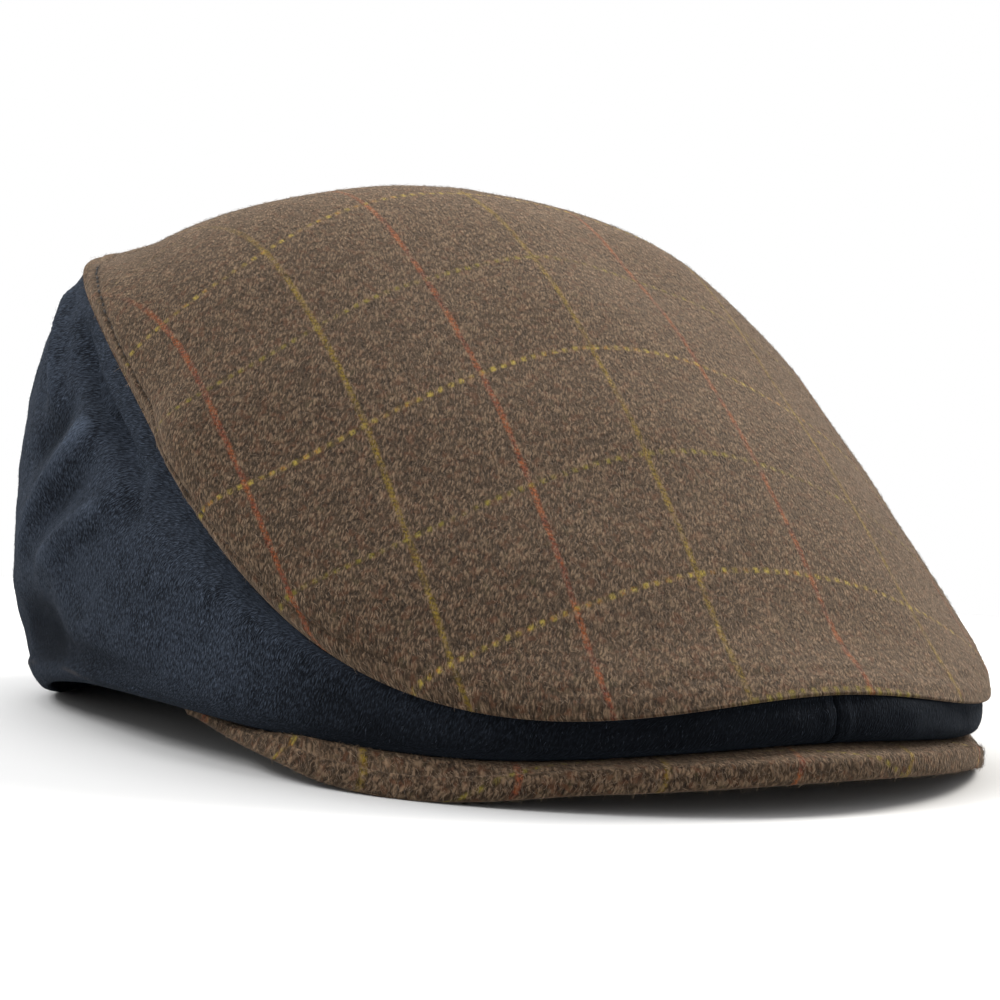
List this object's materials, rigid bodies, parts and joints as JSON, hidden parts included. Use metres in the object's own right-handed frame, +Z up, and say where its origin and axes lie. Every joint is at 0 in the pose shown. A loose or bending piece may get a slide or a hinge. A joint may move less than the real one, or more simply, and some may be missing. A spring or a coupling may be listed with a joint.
{
  "type": "flat cap",
  "caption": "Flat cap with a checked wool top sewn over napped side panels and a wool-covered curved peak, resting on its hem.",
  "frame": {"origin": "Centre of the bounding box, on the surface that the cap rests on", "axes": "+Z up, -Y forward along the peak, +X to the wearer's left"},
  "size_m": [0.2002, 0.2488, 0.128],
  "materials": {
    "tweed": "felted wool twill with a windowpane check, matt and slightly hairy",
    "suede": "dark navy suede with a short brushed nap"
  },
  "bodies": {
    "root": {"crown_top": "tweed", "side_panel_right": "suede", "side_panel_left": "suede", "peak": "tweed"}
  },
  "joints": []
}
